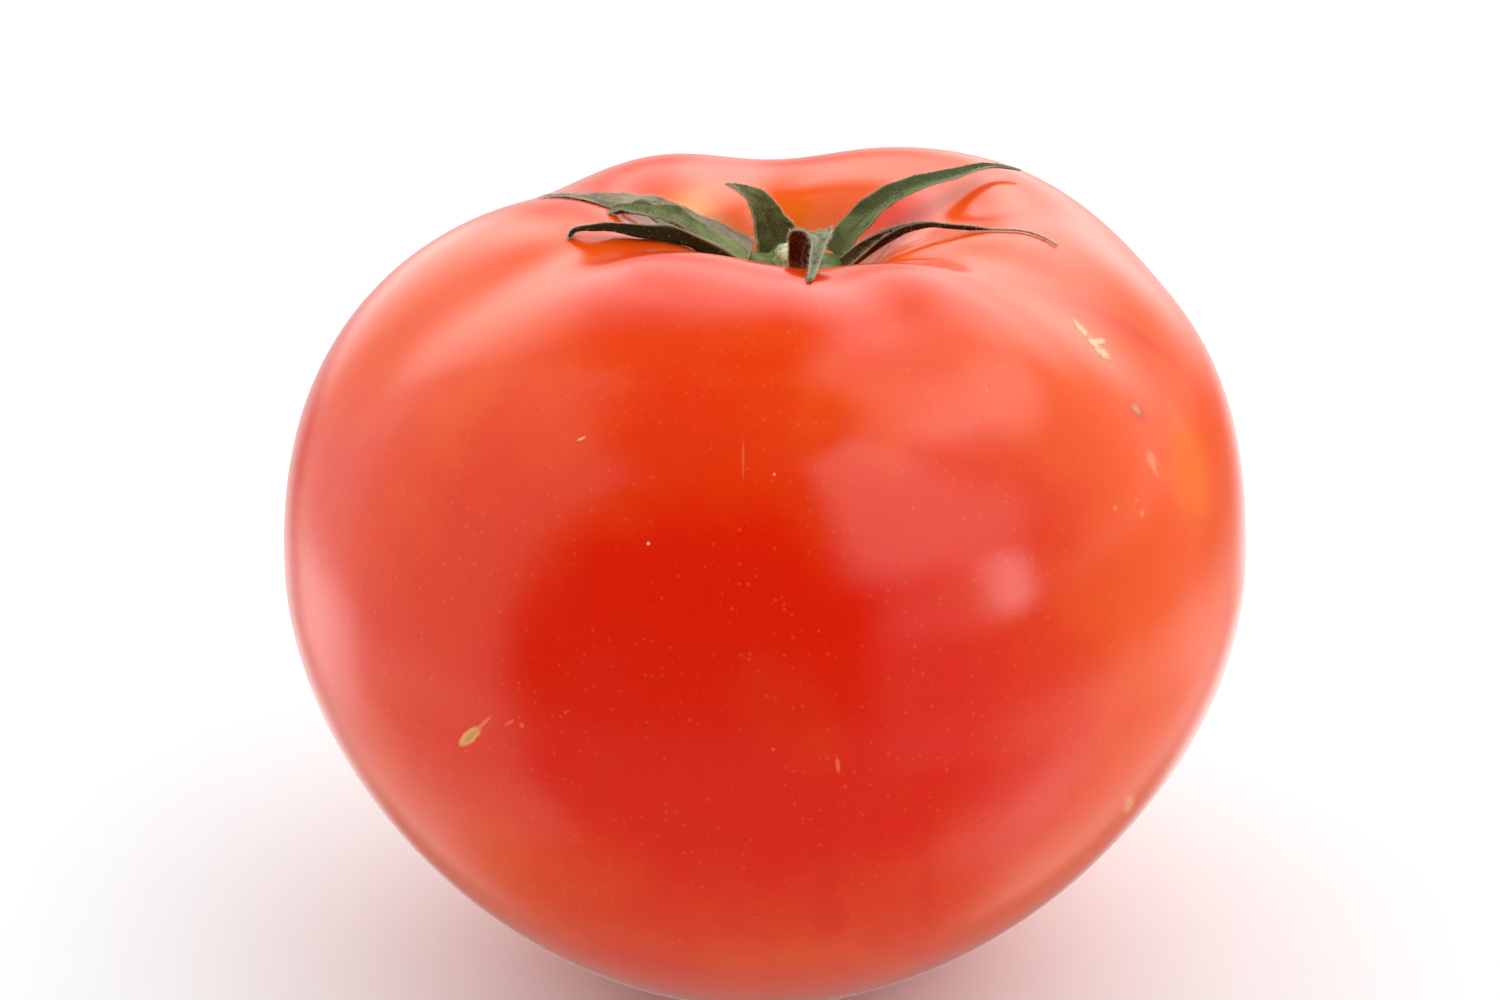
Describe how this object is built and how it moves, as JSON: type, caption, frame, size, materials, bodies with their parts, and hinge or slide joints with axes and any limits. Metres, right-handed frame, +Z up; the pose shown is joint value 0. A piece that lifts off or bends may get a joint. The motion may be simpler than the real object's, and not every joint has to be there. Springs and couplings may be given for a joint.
{
  "type": "tomato",
  "caption": "Ripe beefsteak tomato with a lobed shoulder and a stem cavity that holds its dried green calyx, resting on a small flat spot.",
  "frame": {"origin": "middle of the fruit's bounding box in plan, at the level of the flat spot that it stands on", "axes": "+Z up from the flat spot to the stem cavity, -Y the side with the front sepal, +X to its right"},
  "size_m": [0.0894, 0.0858, 0.0775],
  "materials": {
    "ripe_skin": "smooth waxy skin, satin gloss",
    "calyx_green": "matte leaf tissue",
    "stub_pale": "matte corky stem end",
    "sepal_front_leaf": "matte, finely hairy leaf",
    "sepal_right_leaf": "matte, dried brown leaf",
    "sepal_right_back_leaf": "matte, finely hairy leaf",
    "sepal_back_leaf": "matte, finely hairy leaf",
    "sepal_left_back_leaf": "matte, drying grey-brown leaf",
    "sepal_left_leaf": "matte, finely hairy leaf",
    "sepal_left_front_leaf": "matte, finely hairy leaf"
  },
  "bodies": {
    "root": {"fruit": "ripe_skin", "calyx_hub": "calyx_green", "stem_stub": "stub_pale", "sepal_front": "sepal_front_leaf", "sepal_right": "sepal_right_leaf", "sepal_right_back": "sepal_right_back_leaf", "sepal_back": "sepal_back_leaf", "sepal_left_back": "sepal_left_back_leaf", "sepal_left": "sepal_left_leaf", "sepal_left_front": "sepal_left_front_leaf"}
  },
  "joints": []
}
